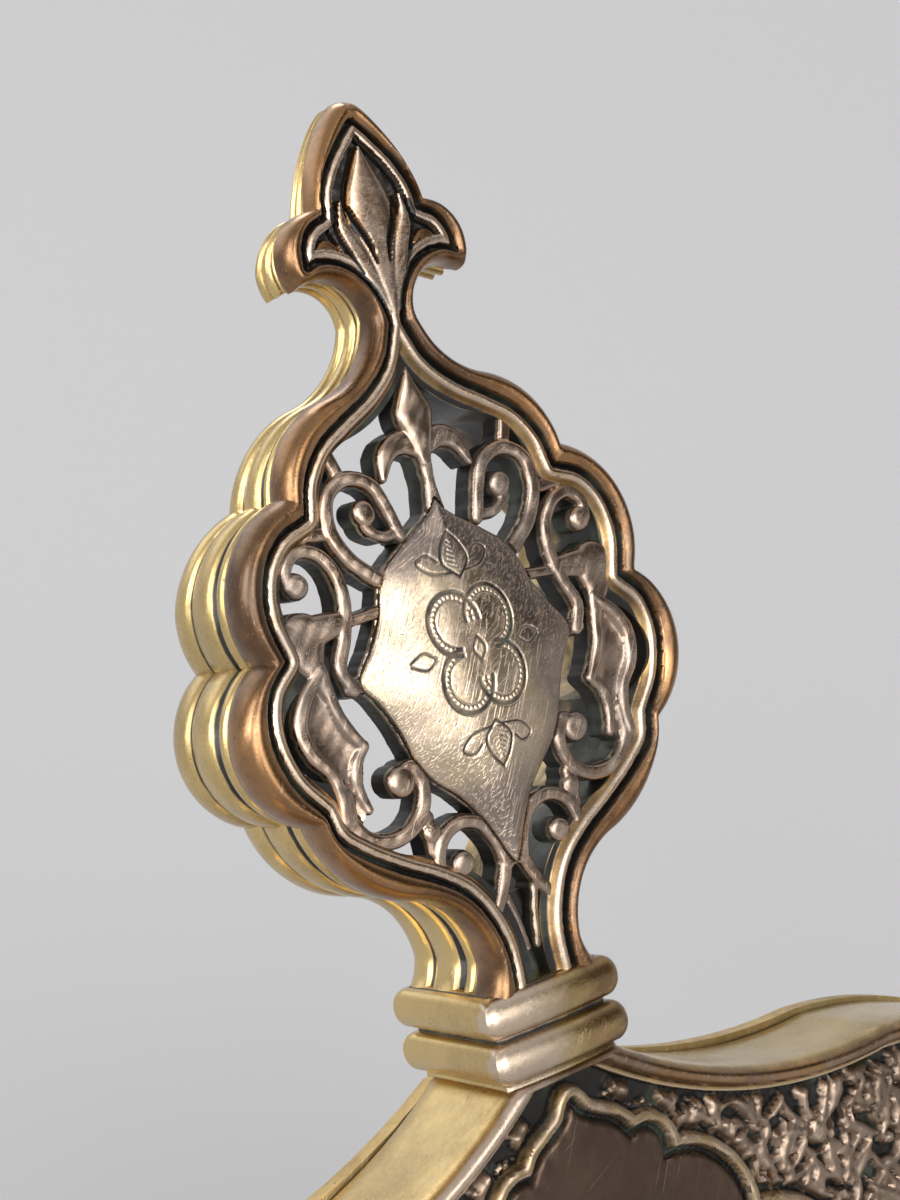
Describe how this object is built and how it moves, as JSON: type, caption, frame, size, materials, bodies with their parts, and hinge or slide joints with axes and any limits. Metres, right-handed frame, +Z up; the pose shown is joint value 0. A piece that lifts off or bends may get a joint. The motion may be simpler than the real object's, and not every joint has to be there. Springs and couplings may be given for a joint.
{
  "type": "bible stand",
  "caption": "Table-top bible stand in cast brass: an ogee-headed back with a pierced finial, a lipped ledge on scrolled feet, swinging page fingers and a folding rear strut.",
  "frame": {"origin": "middle of the footprint, on the table", "axes": "+X to the reader's right, +Y away from the reader, +Z up; the back leans 22 degrees towards +Y"},
  "size_m": [0.224, 0.2062, 0.3208],
  "materials": {
    "cast": "satin cast brass with worn coppery patina",
    "relief": "chased relief on a darkened ground",
    "sheet": "brown patinated sheet brass",
    "fixings": "turned brass",
    "steel": "plain steel"
  },
  "bodies": {
    "stand": {"finial_frame": "cast", "finial_fret": "cast", "finial_stud": "steel", "finial_washer": "fixings", "finial_nut": "fixings", "head_frame": "cast", "spandrel_panel": "relief", "rest_panel": "sheet", "panel_screws": "fixings", "back_plate": "sheet", "back_plate_screws": "fixings", "ledge": "cast", "ledge_lip": "cast", "ledge_screws": "fixings", "lip_screws": "fixings", "foot_bracket_left": "cast", "foot_bracket_right": "cast", "bracket_screws": "fixings", "hinge_bracket": "cast", "hinge_backing": "steel", "hinge_screws": "fixings", "hinge_pin": "steel", "hinge_pin_nuts": "fixings", "finger_screws": "fixings", "finger_washers": "fixings", "finger_nuts": "fixings"},
    "strut": {"strut_leg": "cast", "strut_shoe": "cast", "strut_shoe_pin": "fixings"},
    "page_finger_left": {"page_finger_left": "sheet"},
    "page_finger_right": {"page_finger_right": "sheet"}
  },
  "joints": [
    {"name": "strut_fold", "type": "hinge", "parent": "stand", "child": "strut", "pos_m": [0, 0.03365, 0.14955], "axis": [1, 0, 0], "range_deg": [-43, 0]},
    {"name": "finger_left_swing", "type": "hinge", "parent": "stand", "child": "page_finger_left", "pos_m": [-0.064, -0.09345, 0.0568], "axis": [0, 0.9272, -0.3746], "range_deg": [-90, 90]},
    {"name": "finger_right_swing", "type": "hinge", "parent": "stand", "child": "page_finger_right", "pos_m": [0.064, -0.09345, 0.0568], "axis": [0, 0.9272, -0.3746], "range_deg": [-90, 90]}
  ]
}
